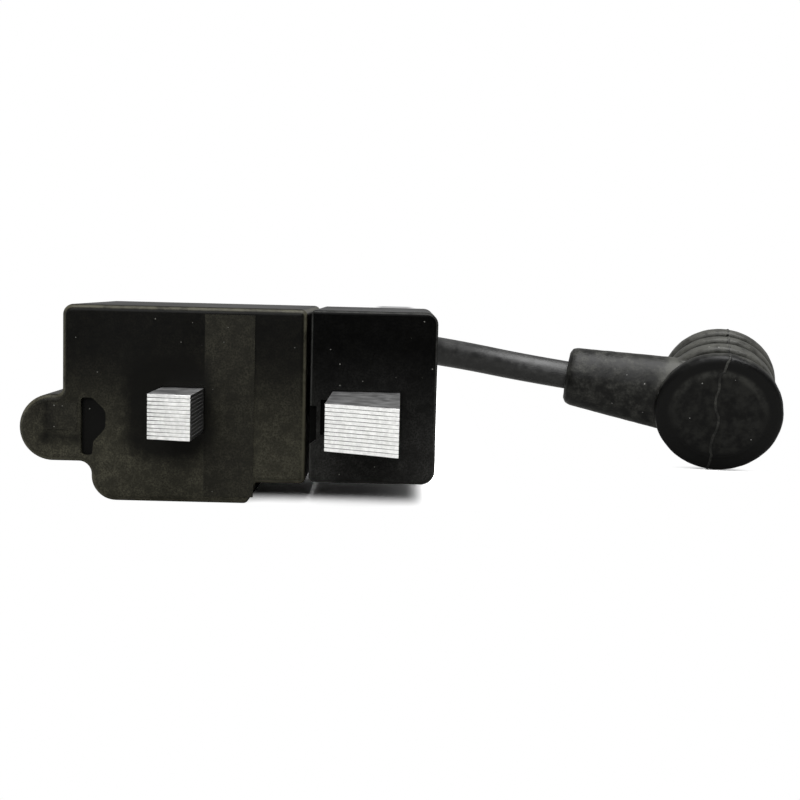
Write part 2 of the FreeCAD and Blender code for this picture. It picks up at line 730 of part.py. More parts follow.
def boot_frame():
    """The boot's barrel axis, its sleeve axis and the middle of its closed face."""
    sleeve_axis = unit(Vec(*LEAD_ROUTE[-2]) - Vec(*LEAD_ROUTE[-1]))
    yaw, tilt = radians(BOOT_YAW), radians(BOOT_TILT)
    rough = Vec(sin(yaw) * cos(tilt), cos(yaw) * cos(tilt), sin(tilt))
    barrel_axis = unit(rough - sleeve_axis * rough.dot(sleeve_axis))
    crossing = along(LEAD_ROUTE[-1], sleeve_axis, SLEEVE_GRIP - SLEEVE_LENGTH)
    return barrel_axis, sleeve_axis, crossing - barrel_axis * SLEEVE_OFFSET


def in_boot_place(shape):
    """A shape made with the barrel along Z and the sleeve along X, put where the boot is."""
    barrel_axis, sleeve_axis, face_middle = boot_frame()
    side = barrel_axis.cross(sleeve_axis)
    matrix = FreeCAD.Matrix(
        sleeve_axis.x, side.x, barrel_axis.x, face_middle.x,
        sleeve_axis.y, side.y, barrel_axis.y, face_middle.y,
        sleeve_axis.z, side.z, barrel_axis.z, face_middle.z,
        0, 0, 0, 1,
    )
    placed = shape.copy()
    placed.Placement = FreeCAD.Placement(matrix)
    return placed


def ring_profile(start, end):
    """The outline of one raised ring of the barrel, from its neck and back to it."""
    rise = [(NECK_RADIUS, 0), (RING_RADIUS - 0.5, 0.05), (RING_RADIUS - 0.13, 0.32), (RING_RADIUS, 0.75)]
    fall = [(radius, end - inward) for radius, inward in reversed(rise)]
    return [(radius, start + inward) for radius, inward in rise] + fall


def barrel():
    """The closed barrel: a thick disc, a neck, and three raised rings up to the mouth."""
    outline = [(0, 0), (7.8, 0), (8.3, 0.25), (10.1, 0.25), (10.75, 0.55), (DISC_RADIUS, 1.1)]
    outline += [(DISC_RADIUS, 2.4), (10.7, 2.9), (NECK_RADIUS, 3.3)]
    for start, end in ((6.5, 9.5), (10.5, 12.7), (13.7, 16.2)):
        outline += ring_profile(start, end)
    outline += [(8.5, BARREL_LENGTH - 0.3), (8.2, BARREL_LENGTH), (0, BARREL_LENGTH)]
    points = [Vec(radius, 0, height) for radius, height in outline]
    wire = Part.makePolygon(points + points[:1])
    return Part.Face(wire).revolve(Vec(0, 0, 0), Vec(0, 0, 1), 360)


def sleeve_section(distance, half_height, half_width, drop):
    """An oval across the sleeve at a distance from the barrel's axis."""
    middle = Vec(distance, -drop, SLEEVE_OFFSET)
    oval = Part.Ellipse(middle + Vec(0, half_height, 0), middle + Vec(0, 0, half_width), middle)
    return Part.Wire(oval.toShape())


def boot_sleeve():
    """The tapered sleeve, oval beside the barrel and nearly round where the lead goes in."""
    sections = [
        sleeve_section(2.0, 6.9, 5.4, 0.3),
        sleeve_section(10.0, 6.75, 5.3, 0.4),
        sleeve_section(SLEEVE_LENGTH - 1.3, 5.3, 4.9, 0.05),
        sleeve_section(SLEEVE_LENGTH - 0.5, 5.0, 4.65, 0.0),
        sleeve_section(SLEEVE_LENGTH, 4.2, 3.95, 0.0),
    ]
    return Part.makeLoft(sections, True, True)


def plug_boot():
    """The right-angle rubber boot, hollow for the plug and for the lead."""
    lead_end = SLEEVE_LENGTH - SLEEVE_GRIP
    plug_socket = rod((0, 0, PLUG_SOCKET_START), (0, 0, BARREL_LENGTH + 1), PLUG_SOCKET_RADIUS)
    clip_chamber = rod((0, 0, CLIP_CHAMBER_START), (0, 0, PLUG_SOCKET_START), CLIP_CHAMBER_RADIUS)
    lead_bore = rod((lead_end, 0, SLEEVE_OFFSET), (SLEEVE_LENGTH + 1, 0, SLEEVE_OFFSET), LEAD_RADIUS)
    tail_way = rod((0, 0, SLEEVE_OFFSET), (lead_end + 1, 0, SLEEVE_OFFSET), 0.6)
    solid = joined([barrel(), boot_sleeve()])
    return in_boot_place(solid.cut([plug_socket, clip_chamber, lead_bore, tail_way]))


def boot_spring():
    """The plug clip: three close turns of spring wire with a tail into the lead's conductor."""
    wire_radius, turn_radius = 0.5, 3.1
    turns = [
        Part.makeTorus(turn_radius, wire_radius, Vec(0, 0, SLEEVE_OFFSET + step * 0.95))
        for step in (-1, 0, 1)
    ]
    lead_end = SLEEVE_LENGTH - SLEEVE_GRIP
    tail = rod((turn_radius, 0, SLEEVE_OFFSET), (lead_end, 0, SLEEVE_OFFSET), wire_radius)
    return in_boot_place(joined(turns + [tail]))


def lead_pieces():
    """The lead's rubber cover and its conductor."""
    radii = bend_radii(LEAD_ROUTE)
    wire = route_wire(LEAD_ROUTE, radii)
    core = tube_on(wire, LEAD_ROUTE, LEAD_CORE_RADIUS)
    full = tube_on(wire, LEAD_ROUTE, LEAD_RADIUS)
    expected = pi * LEAD_RADIUS ** 2 * wire.Length
    print("lead length %.1f, radii %s" % (wire.Length, [round(radius, 1) for radius in radii]))
    print("lead volume %.1f of %.1f" % (full.Volume, expected))
    return full.cut(core), core


# ---- the whole part -------------------------------------------------------------------------

def all_nodes():
    """Every piece by its name, before the origin is set."""
    cover, core = lead_pieces()
    return {
        "module_case": module_case(),
        "coil_case": coil_case(),
        "module_potting": module_potting(),
        "coil_potting": coil_potting(),
        "left_leg_laminations": leg_sheets(LEFT_LEG_X, LEFT_LEG_WIDTH),
        "right_leg_laminations": leg_sheets(RIGHT_LEG_X, RIGHT_LEG_WIDTH),
        "yoke_laminations": yoke_sheets(),
        "core_rivets": core_rivets(),
        "mounting_bushes": mounting_bushes(),
        "charge_bobbin": charge_bobbin(),
        "charge_winding": charge_winding(),
        "trigger_winding": trigger_winding(),
        "primary_bobbin": primary_bobbin(),
        "primary_winding": primary_winding(),
        "insulation_wrap": insulation_wrap(),
        "secondary_bobbin": secondary_bobbin(),
        "secondary_winding": secondary_winding(),
        "ht_contact_pin": ht_contact_pin(),
        "circuit_board": circuit_board(),
        "discharge_capacitor": discharge_capacitor(),
        "thyristor": thyristor(),
        "diodes": diodes(),
        "resistors": resistors(),
        "control_chip": control_chip(),
        "winding_wires": winding_wires(),
        "primary_links": primary_links(),
        "kill_terminal": kill_terminal(),
        "earth_strap": earth_strap(),
        "lead_grommet": lead_grommet(),
        "ht_lead_cover": cover,
        "ht_lead_core": core,
        "plug_boot": plug_boot(),
        "boot_spring": boot_spring(),
    }


ON_THE_LEAD = ("ht_lead_cover", "ht_lead_core", "plug_boot", "boot_spring")


def origin_shift(nodes):
    """The move that puts the origin below the middle of the rigid parts."""
    rigid = Part.makeCompound([shape for name, shape in nodes.items() if name not in ON_THE_LEAD])
    box = rigid.optimalBoundingBox(False)
    return Vec(-(box.XMin + box.XMax) / 2, -(box.YMin + box.YMax) / 2, 0)


def main():
    """Build every piece, set the origin and write one file for each."""
    os.makedirs("parts", exist_ok=True)
    nodes = all_nodes()
    shift = origin_shift(nodes)
    print("origin shift %.3f %.3f" % (shift.x, shift.y))
    for name, shape in nodes.items():
        shape.translate(shift)
        box = shape.optimalBoundingBox(False)
        print("%-22s solids %2d valid %s volume %9.2f z %.3f..%.3f" % (
            name, len(shape.Solids), shape.isValid(), shape.Volume, box.ZMin, box.ZMax))
        shape.exportStep("parts/%s.step" % name)


main()
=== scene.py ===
import json
import math
import random

import bmesh
import bpy
from mathutils import Matrix, Vector


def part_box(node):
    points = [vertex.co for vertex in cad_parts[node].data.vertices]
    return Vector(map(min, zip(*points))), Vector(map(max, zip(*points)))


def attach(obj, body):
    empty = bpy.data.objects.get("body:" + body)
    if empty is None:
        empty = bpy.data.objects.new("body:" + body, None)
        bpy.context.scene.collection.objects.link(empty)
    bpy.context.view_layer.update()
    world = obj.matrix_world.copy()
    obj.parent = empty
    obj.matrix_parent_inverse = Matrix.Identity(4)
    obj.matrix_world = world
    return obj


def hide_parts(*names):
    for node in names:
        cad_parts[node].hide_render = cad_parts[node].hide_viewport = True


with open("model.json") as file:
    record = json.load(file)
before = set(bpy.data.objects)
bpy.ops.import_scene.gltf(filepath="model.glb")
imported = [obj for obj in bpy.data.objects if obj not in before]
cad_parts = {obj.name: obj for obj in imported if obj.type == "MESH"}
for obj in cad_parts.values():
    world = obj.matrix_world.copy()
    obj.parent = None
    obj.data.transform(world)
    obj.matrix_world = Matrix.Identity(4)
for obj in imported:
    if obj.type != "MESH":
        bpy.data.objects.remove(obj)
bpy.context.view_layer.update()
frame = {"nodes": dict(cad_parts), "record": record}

MM = 0.001
NODES = frame["nodes"]
random.seed(4)

# ---- places read from the frame --------------------------------------------------------------
# The case frame has X along the cases, Y = 0 at their front face and Z = 0 at the floor.

TAB_LEFT_X = -32.6
BAND_HEIGHT = 0.12
CASE_LOW, CASE_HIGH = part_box("module_case")
COIL_LOW, COIL_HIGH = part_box("coil_case")
CASE_ORIGIN = Vector((CASE_LOW.x - TAB_LEFT_X * MM, CASE_LOW.y + BAND_HEIGHT * MM, 0.0))


def in_case(x, y, z):
    """A point of the case frame, given in millimetres, in the row frame."""
    return CASE_ORIGIN + Vector((x, y, z)) * MM


def mount(name):
    """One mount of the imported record."""
    return next(entry for entry in frame["record"]["mounts"] if entry["name"] == name)


# ---- small helpers ---------------------------------------------------------------------------

def new_object(name, mesh):
    """An object for a mesh, in the scene."""
    made = bpy.data.objects.new(name, mesh)
    bpy.context.scene.collection.objects.link(made)
    return made


def smooth(mesh, angle=40):
    """Smooth shading with sharp edges kept above an angle."""
    mesh.polygons.foreach_set("use_smooth", [True] * len(mesh.polygons))
    mesh.set_sharp_from_angle(angle=math.radians(angle))


def bevelled_copy(node, width, segments=2, angle=35):
    """A copy of a CAD node with its edges rounded, which stands for the node."""
    source = NODES[node]
    mesh = source.data.copy()
    work = bmesh.new()
    work.from_mesh(mesh)
    bmesh.ops.remove_doubles(work, verts=work.verts, dist=0.004 * MM)
    bmesh.ops.dissolve_limit(work, angle_limit=math.radians(1.0), verts=work.verts, edges=work.edges)
    work.to_mesh(mesh)
    work.free()
    copy = new_object(node + "_detailed", mesh)
    bevel = copy.modifiers.new("rounded edges", "BEVEL")
    bevel.width = width * MM
    bevel.segments = segments
    bevel.limit_method = "ANGLE"
    bevel.angle_limit = math.radians(angle)
    bevel.harden_normals = False
    smooth(mesh, angle)
    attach(copy, "root")
    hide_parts(node)
    return copy


# ---- materials -------------------------------------------------------------------------------

class Look:
    """A node material under construction, with its principled shader."""

    def __init__(self, name):
        self.material = bpy.data.materials.new(name)
        self.material.use_nodes = True
        self.tree = self.material.node_tree
        self.shader = self.tree.nodes["Principled BSDF"]
        places = self.tree.nodes.new("ShaderNodeTexCoord")
        self.coords = places.outputs["Object"]
        self.facing = places.outputs["Normal"]

    def node(self, kind, **settings):
        """A new node with its settings."""
        made = self.tree.nodes.new(kind)
        for key, value in settings.items():
            setattr(made, key, value)
        return made

    def link(self, output, target):
        self.tree.links.new(output, target)

    def put(self, target, value):
        """Set an input from a number, a colour or another node's output."""
        if isinstance(value, bpy.types.NodeSocket):
            self.link(value, target)
        else:
            target.default_value = value

    def noise(self, per_metre, detail=3.0, roughness=0.55):
        """Cloudy noise, with its number of cells in a metre."""
        texture = self.node("ShaderNodeTexNoise")
        self.link(self.coords, texture.inputs["Vector"])
        texture.inputs["Scale"].default_value = per_metre
        texture.inputs["Detail"].default_value = detail
        texture.inputs["Roughness"].default_value = roughness
        return texture.outputs["Fac"]

    def ranged(self, value, low, high, to_low, to_high):
        """A value carried smoothly from one range to another, and held at its ends."""
        mapped = self.node("ShaderNodeMapRange")
        mapped.interpolation_type = "SMOOTHSTEP"
        self.put(mapped.inputs["Value"], value)
        mapped.inputs["From Min"].default_value = low
        mapped.inputs["From Max"].default_value = high
        mapped.inputs["To Min"].default_value = to_low
        mapped.inputs["To Max"].default_value = to_high
        return mapped.outputs["Result"]

    def math(self, operation, first, second=0.0, third=0.0):
        """One step of arithmetic."""
        step = self.node("ShaderNodeMath", operation=operation)
        self.put(step.inputs[0], first)
        self.put(step.inputs[1], second)
        self.put(step.inputs[2], third)
        return step.outputs["Value"]

    def vector(self, operation, first, second=(0.0, 0.0, 0.0), output="Vector"):
        """One step of arithmetic on vectors."""
        step = self.node("ShaderNodeVectorMath", operation=operation)
        self.put(step.inputs[0], first)
        self.put(step.inputs[1], second)
        return step.outputs[output]

    def mixed(self, factor, first, second):
        """A blend of two colours."""
        blend = self.node("ShaderNodeMix", data_type="RGBA")
        self.put(blend.inputs["Factor"], factor)
        self.put(blend.inputs["A"], first)
        self.put(blend.inputs["B"], second)
        return blend.outputs["Result"]

    def axis(self, index, source=None):
        """One coordinate of the object's place, or of another vector."""
        split = self.node("ShaderNodeSeparateXYZ")
        self.link(source or self.coords, split.inputs["Vector"])
        return split.outputs[index]

    def bump(self, height, distance, strength=1.0, below=None):
        """Fine relief of a depth in millimetres, over any relief below it."""
        made = self.node("ShaderNodeBump")
        self.link(height, made.inputs["Height"])
        made.inputs["Distance"].default_value = distance * MM
        made.inputs["Strength"].default_value = strength
        if below is not None:
            self.link(below, made.inputs["Normal"])
        return made.outputs["Normal"]

    def specks(self, per_metre, size, share):
        """A mask of small scattered dots."""
        cells = self.node("ShaderNodeTexVoronoi")
        self.link(self.coords, cells.inputs["Vector"])
        cells.inputs["Scale"].default_value = per_metre
        near = self.math("LESS_THAN", cells.outputs["Distance"], size)
        chosen = self.math("GREATER_THAN", self.axis(0, cells.outputs["Color"]), 1.0 - share)
        return self.math("MULTIPLY", near, chosen)

    def finish(self, **inputs):
        """Set the shader's inputs by name, with _ for a space."""
        for key, value in inputs.items():
            self.put(self.shader.inputs[key.replace("_", " ")], value)
        return self.material


def colour(red, green, blue):
    """A colour with full alpha."""
    return (red, green, blue, 1.0)


def shade(base, factor):
    """The same hue, brighter or darker."""
    return colour(*[channel * factor for channel in base[:3]])


def moulded_plastic(name, base, roughness, gloss, relief=False, shade_patches=()):
    """Black moulded nylon: fine grain, a painted reflection of the floor that makes it lighter towards the
    foot, painted highlights on its rounded edges and a few dust specks.

    With relief, what stands proud of the front face is lighter, and what lies in recesses in it is darker
    with painted shade.
    Each shade patch is painted shade with soft edges, given by its middle and half size seen from the front.
    """
    look = Look(name)
    slow = look.noise(60, 3)
    cloudy = look.noise(700, 5, 0.65)
    grain = look.noise(4200, 5, 0.7)
    x, y, z = (look.axis(index) for index in range(3))
    # Painted reflection of the floor: the colour gets lighter towards the foot and darker towards the top.
    height = look.math("ADD", z, look.math("MULTIPLY", slow, 6 * MM))
    painted_floor_reflection = look.ranged(height, 8 * MM, 26 * MM, 1.0, 0.0)
    clouds = look.ranged(cloudy, 0.3, 0.7, 0.2, 1.0)
    mottle = look.math("MULTIPLY", clouds, look.ranged(grain, 0.35, 0.65, 0.0, 1.0))
    upper = look.mixed(mottle, shade(base, 0.05), shade(base, 0.4))
    lower = look.mixed(mottle, shade(base, 1.2), shade(base, 4.0))
    tone = look.mixed(painted_floor_reflection, upper, lower)
    rough = look.ranged(slow, 0.3, 0.7, roughness - 0.03, roughness + 0.05)
    if relief:
        front = CASE_ORIGIN.y
        proud = look.ranged(y, front - 0.07 * MM, front - 0.03 * MM, 1.0, 0.0)
        inward = look.ranged(y, front + 0.08 * MM, front + 0.25 * MM, 0.0, 1.0)
        shallow = look.ranged(y, front + 1.1 * MM, front + 1.2 * MM, 1.0, 0.0)
        ahead = look.ranged(look.axis(1, look.facing), -0.9, -0.8, 1.0, 0.0)
        # Painted shade: recesses in the front face that face forward are darkened in the colour.
        painted_recess_shade = look.math("MULTIPLY", look.math("MULTIPLY", inward, shallow), ahead)
        wear_and_painted_top_light = look.mixed(mottle, shade(base, 0.6), shade(base, 2.1))
        tone = look.mixed(proud, tone, wear_and_painted_top_light)
        tone = look.mixed(painted_recess_shade, tone, shade(base, 0.1))
        rough = look.math("ADD", rough, look.math("MULTIPLY", look.math("MAXIMUM", proud, painted_recess_shade), 0.15))
    # Painted shade: each patch darkens the colour inside a soft-edged rounded box seen from the front.
    for middle, half in shade_patches:
        edge = look.math("MULTIPLY", cloudy, 1.4 * MM)
        sides = [
            look.math("SUBTRACT", look.math("ABSOLUTE", look.math("SUBTRACT", place, centre)), reach * MM)
            for place, centre, reach in ((x, middle.x, half[0]), (z, middle.z, half[1]))
        ]
        rounding = min(half) * MM
        outside = look.math("ADD", look.math("SMOOTH_MAX", sides[0], sides[1], rounding), edge)
        painted_shade = look.ranged(outside, -0.6 * MM, 2.0 * MM, 0.9, 0.0)
        tone = look.mixed(painted_shade, tone, shade(base, 0.1))
    # Painted highlight: rounded edges, where the normal is far from every axis, are lightened in the colour
    # and broken up by noise.
    facings = [look.math("ABSOLUTE", look.axis(index, look.facing)) for index in range(3)]
    flatness = look.math("MAXIMUM", facings[0], look.math("MAXIMUM", facings[1], facings[2]))
    edges = look.ranged(flatness, 0.8, 0.95, 0.8, 0.0)
    painted_highlight = look.math("MULTIPLY", edges, look.ranged(cloudy, 0.3, 0.6, 0.3, 1.0))
    tone = look.mixed(painted_highlight, tone, shade(base, 5.0))
    dots = look.specks(620, 0.06, 0.4)
    tone = look.mixed(dots, tone, colour(0.11, 0.11, 0.10))
    fine = look.bump(grain, 0.004, 0.5)
    return look.finish(Base_Color=tone, Roughness=rough, Normal=fine, Specular_IOR_Level=gloss)


def ground_sheets():
    """Core sheets: ends ground bright, dark cut sides that also carry a painted reflection of the dark case,
    and grey flat faces.
    """
    look = Look("core sheets")
    fleck = look.noise(1500, 4, 0.6)
    stain = look.noise(420, 4)
    ahead = look.ranged(look.axis(1, look.facing), -0.8, -0.6, 1.0, 0.0)
    flat = look.ranged(look.math("ABSOLUTE", look.axis(2, look.facing)), 0.6, 0.8, 0.0, 1.0)
    stained = look.ranged(stain, 0.35, 0.65, 0.0, 1.0)
    # Painted reflection: the sides are dark and not metallic, partly as cut steel and partly in place of the
    # dark case they reflect.
    sheared_and_painted_reflection = look.mixed(stained, colour(0.012, 0.012, 0.012), colour(0.03, 0.03, 0.029))
    rolled = look.mixed(stained, colour(0.42, 0.42, 0.42), colour(0.2, 0.2, 0.2))
    flecked = look.ranged(fleck, 0.3, 0.7, 0.0, 1.0)
    ground = look.mixed(flecked, colour(0.72, 0.72, 0.71), colour(0.9, 0.9, 0.89))
    tone = look.mixed(ahead, look.mixed(flat, sheared_and_painted_reflection, rolled), ground)
    metal = look.math("MULTIPLY", look.math("MAXIMUM", ahead, flat), 0.85)
    rough = look.math("ADD", look.ranged(fleck, 0.3, 0.7, 0.28, 0.4), look.math("MULTIPLY", ahead, 0.15))
    skin = look.bump(fleck, 0.006, 0.4)
    return look.finish(Base_Color=tone, Metallic=metal, Roughness=rough, Normal=skin, Specular_IOR_Level=0.2)


def plain_metal(name, base, roughness, grain_scale=2600):
    """Plated or drawn metal with a light grain and small dull patches."""
    look = Look(name)
    grain = look.noise(grain_scale, 4, 0.6)
    patches = look.noise(380, 3)
    tone = look.mixed(look.ranged(patches, 0.35, 0.7, 0.0, 1.0), base, shade(base, 0.72))
    rough = look.ranged(grain, 0.3, 0.7, roughness - 0.06, roughness + 0.08)
    return look.finish(Base_Color=tone, Metallic=1.0, Roughness=rough, Normal=look.bump(grain, 0.004, 0.5))


def wound_wire(name, pitch, base):
    """Close turns of enamelled wire that run round the Y axis, with painted shade between the turns."""
    look = Look(name)
    turns = look.node("ShaderNodeTexWave", wave_type="BANDS", bands_direction="Y")
    look.link(look.coords, turns.inputs["Vector"])
    turns.inputs["Scale"].default_value = math.pi / (pitch * MM) / 10
    turns.inputs["Distortion"].default_value = 0.4
    height = turns.outputs["Fac"]
    # Painted shade: the colour is darker in the grooves between the turns.
    tone = look.mixed(look.ranged(height, 0.1, 0.9, 0.0, 1.0), shade(base, 0.45), base)
    round_wire = look.bump(height, pitch * 0.4, 0.8)
    return look.finish(Base_Color=tone, Metallic=0.7, Roughness=0.32, Normal=round_wire)


def closed_face(look, base, patches, broad, offset):
    """The boot's closed face: darker than the rest, with painted shade on the rim, a clouded middle and a
    painted highlight on a ring at the top.
    """
    away = look.vector("LENGTH", offset, output="Value")
    uneven = look.math("ADD", away, look.math("MULTIPLY", broad, 2.0 * MM))
    middle = look.ranged(uneven, 7.6 * MM, 9.4 * MM, 1.0, 0.0)
    clouds = look.ranged(patches, 0.35, 0.65, 0.0, 1.0)
    clouded = look.mixed(clouds, shade(base, 0.02), shade(base, 1.3))
    # Painted shade: the rim round the face's middle is darkened in the colour.
    closed = look.mixed(middle, shade(base, 0.08), clouded)
    # Painted highlight: a ring at the middle's edge is lightened, on its upper part only.
    ring = look.math("ABSOLUTE", look.math("SUBTRACT", away, PAINTED_HIGHLIGHT_RING * MM))
    above = look.ranged(look.axis(2, offset), -3 * MM, 7 * MM, 0.0, 1.0)
    wear_and_painted_top_light = look.math("MULTIPLY", above, look.ranged(patches, 0.35, 0.6, 0.2, 1.0))
    painted_highlight = look.math("MULTIPLY", look.ranged(ring, 0.2 * MM, 1.0 * MM, 1.0, 0.0), wear_and_painted_top_light)
    return look.mixed(painted_highlight, closed, shade(base, 2.6))


def barrel_painted_light(look, patches, offset, along, barrel_axis):
    """Where painted light makes the boot's barrel lighter, behind its closed face."""
    around = look.vector("CROSS_PRODUCT", offset, barrel_axis)
    radial = look.vector("LENGTH", around, output="Value")
    behind = look.ranged(along, 1.5 * MM, 3.0 * MM, 0.0, 1.0)
    near = look.ranged(radial, 11.0 * MM, 12.5 * MM, 1.0, 0.0)
    barrel = look.math("MULTIPLY", behind, near)
    return look.math("MULTIPLY", barrel, look.ranged(patches, 0.3, 0.6, 0.35, 0.85))


def soft_rubber(name, base, roughness, gloss, dust=0.04, chalk=0.35, disc=None):
    """Moulded rubber: fine pitted skin, chalky patches and dust.

    A disc, given by its middle and axis, marks the boot's closed face, with painted shade and a painted
    highlight, and the barrel behind it, which gets painted light.
    """
    look = Look(name)
    pits = look.noise(2600, 5, 0.7)
    patches = look.noise(520, 5, 0.65)
    broad = look.noise(160, 3)
    chalky = look.ranged(patches, 0.38, 0.68, 0.0, chalk)
    tone = look.mixed(chalky, shade(base, 0.4), shade(base, 5.6))
    tone = look.mixed(look.ranged(pits, 0.4, 0.6, 0.0, 0.6), tone, shade(base, 0.2))
    tone = look.mixed(look.ranged(broad, 0.4, 0.65, 0.0, 0.5), tone, shade(base, 0.5))
    if disc is not None:
        middle, axis = disc
        offset = look.vector("SUBTRACT", look.coords, middle)
        along = look.vector("DOT_PRODUCT", offset, axis, output="Value")
        on_face = look.ranged(along, 0.7 * MM, 1.6 * MM, 1.0, 0.0)
        tone = look.mixed(on_face, tone, closed_face(look, base, patches, broad, offset))
        # Painted light: the barrel behind the closed face is lightened in the colour.
        tone = look.mixed(barrel_painted_light(look, patches, offset, along, axis), tone, shade(base, 6.5))
    dots = look.specks(560, 0.06, dust)
    tone = look.mixed(dots, tone, colour(0.32, 0.32, 0.31))
    rough = look.ranged(patches, 0.3, 0.7, roughness - 0.07, roughness + 0.07)
    fine = look.bump(pits, 0.035, 0.7)
    wear_and_painted_top_light = look.bump(patches, 0.09, 0.6, fine)
    return look.finish(Base_Color=tone, Roughness=rough, Normal=wear_and_painted_top_light, Specular_IOR_Level=gloss)


def mottled(name, base, roughness, per_metre=900, depth=0.01, **extra):
    """A plain coloured material with a slight mottle and grain."""
    look = Look(name)
    spots = look.noise(per_metre, 4, 0.6)
    spotted = look.ranged(spots, 0.3, 0.7, 0.0, 1.0)
    tone = look.mixed(spotted, shade(base, 0.82), shade(base, 1.12))
    rough = look.ranged(spots, 0.3, 0.7, roughness - 0.05, roughness + 0.06)
    return look.finish(Base_Color=tone, Roughness=rough, Normal=look.bump(spots, depth, 0.5), **extra)


MODULE_BLACK = colour(0.0122, 0.0116, 0.0082)
BOOT_BLACK = colour(0.0088, 0.0088, 0.0078)
COIL_BLACK = colour(0.0072, 0.0072, 0.0068)
# The radius of the painted highlight ring on the boot's closed face, in millimetres.
PAINTED_HIGHLIGHT_RING = 8.0
# Painted shade round the left leg, and painted shadow along the left and the bottom edge of the tab's pad:
# the middle, and half the size in millimetres.
PAINTED_SHADE_PATCHES = (
    (in_case(-11.4, 0.0, 13.4), (6.2, 7.5)),
    (in_case(-28.7, 0.0, 11.2), (0.4, 2.9)),
    (in_case(-26.4, 0.0, 8.9), (2.6, 0.4)),
)


def make_materials():
    """Every material, by the record's slot."""
    return {
        "module_plastic": moulded_plastic("module plastic", MODULE_BLACK, 0.34, 0.09, True, PAINTED_SHADE_PATCHES),
        "coil_plastic": moulded_plastic("coil plastic", COIL_BLACK, 0.3, 0.04, True),
        "potting_resin": moulded_plastic("potting resin", colour(0.012, 0.011, 0.010), 0.16, 0.5),
        "core_steel": ground_sheets(),
        "rivet_steel": plain_metal("plated steel", colour(0.58, 0.57, 0.54), 0.34),
        "bobbin_nylon": mottled("bobbin nylon", colour(0.66, 0.60, 0.48), 0.5),
        "enamelled_copper": wound_wire("enamelled copper", 0.25, colour(0.62, 0.24, 0.09)),
        "yellow_tape": mottled("polyester tape", colour(0.72, 0.52, 0.10), 0.3, 1400),
        "contact_brass": plain_metal("brass strip", colour(0.78, 0.58, 0.26), 0.27),
        "board_laminate": mottled("board laminate", colour(0.05, 0.16, 0.07), 0.4, 3000),
        "capacitor_shell": mottled("capacitor shell", colour(0.34, 0.06, 0.035), 0.25, 500),
        "component_black": mottled("component body", colour(0.02, 0.02, 0.021), 0.45, 2500),
        "resistor_tan": mottled("resistor lacquer", colour(0.6, 0.44, 0.27), 0.35, 1200),
        "insulated_wire": mottled("wire insulation", colour(0.45, 0.03, 0.025), 0.4, 1500),
        "tinned_strip": plain_metal("tinned strip", colour(0.74, 0.74, 0.72), 0.3),
        "lead_rubber": soft_rubber("lead rubber", colour(0.014, 0.014, 0.0135), 0.42, 0.45, 0.03, 0.3),
        "bare_copper": plain_metal("stranded copper", colour(0.72, 0.34, 0.18), 0.3),
        "boot_rubber": soft_rubber("boot rubber", BOOT_BLACK, 0.42, 0.18, 0.4, 1.0, boot_axes()[:2]),
        "spring_steel": plain_metal("spring wire", colour(0.6, 0.6, 0.59), 0.25),
    }


def coat(thing, slot, materials):
    """Give a piece one slot's material."""
    thing.data.materials.clear()
    thing.data.materials.append(materials[slot])


# ---- camera ----------------------------------------------------------------------------------

CAMERA_PLACE = in_case(21.11, -187.7, 31.75)
CAMERA_LENS = 60.3
CAMERA_DOWN = math.radians(5.0)
CAMERA_ROLL = math.radians(1.4)


def make_camera():
    """A camera just above the top of the cases, turned down a little, with a slight roll."""
    data = bpy.data.cameras.new("camera")
    data.lens = CAMERA_LENS
    data.sensor_width = 36.0
    data.clip_start = 0.005
    data.clip_end = 20.0
    camera = bpy.data.objects.new("camera", data)
    bpy.context.scene.collection.objects.link(camera)
    tilt = Matrix.Rotation(math.pi / 2 - CAMERA_DOWN, 4, "X")
    camera.matrix_world = Matrix.Translation(CAMERA_PLACE) @ tilt @ Matrix.Rotation(CAMERA_ROLL, 4, "Z")
    bpy.context.scene.camera = camera


# ---- lead ------------------------------------------------------------------------------------

LEAD_DIAMETER = 0.005
# The same points as the lead's route in the CAD source, in metres, in the case frame.
LEAD_ROUTE = [
    (0.01470, 0.03180, 0.02120),
    (0.02040, 0.04460, 0.02100),
    (0.03146, 0.05320, 0.01920),
    (0.04504, 0.05580, 0.01660),
    (0.05815, 0.05368, 0.01491),
]


def lead_points():
    """The route in the row frame."""
    return [CASE_ORIGIN + Vector(point) for point in LEAD_ROUTE]


def make_lead(materials):
    """The lead as one smooth curve from the tower's socket into the boot."""
    curve = bpy.data.curves.new("ht_lead", "CURVE")
    curve.dimensions = "3D"
    spline = curve.splines.new("NURBS")
    points = lead_points()
    spline.points.add(len(points) - 1)
    for point, place in zip(spline.points, points):
        point.co = (*place, 1.0)
    spline.order_u = 3
    spline.use_endpoint_u = True
    spline.resolution_u = 24
    curve.bevel_depth = LEAD_DIAMETER / 2
    curve.bevel_resolution = 8
    curve.use_fill_caps = True
    lead = new_object("ht_lead", curve)
    lead.data.materials.append(materials["lead_rubber"])
    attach(lead, "root")
    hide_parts("ht_lead_cover")
    return lead


# ---- boot ------------------------------------------------------------------------------------

# From the lead's end to the barrel's axis, and from the closed face to the sleeve's axis, in millimetres.
CROSSING_FROM_LEAD_END = 20.1
SLEEVE_OFFSET = 6.9
SEAM_HALF_WIDTH = 0.26
SEAM_HEIGHT = 0.12
SEAM_STEP = 0.7
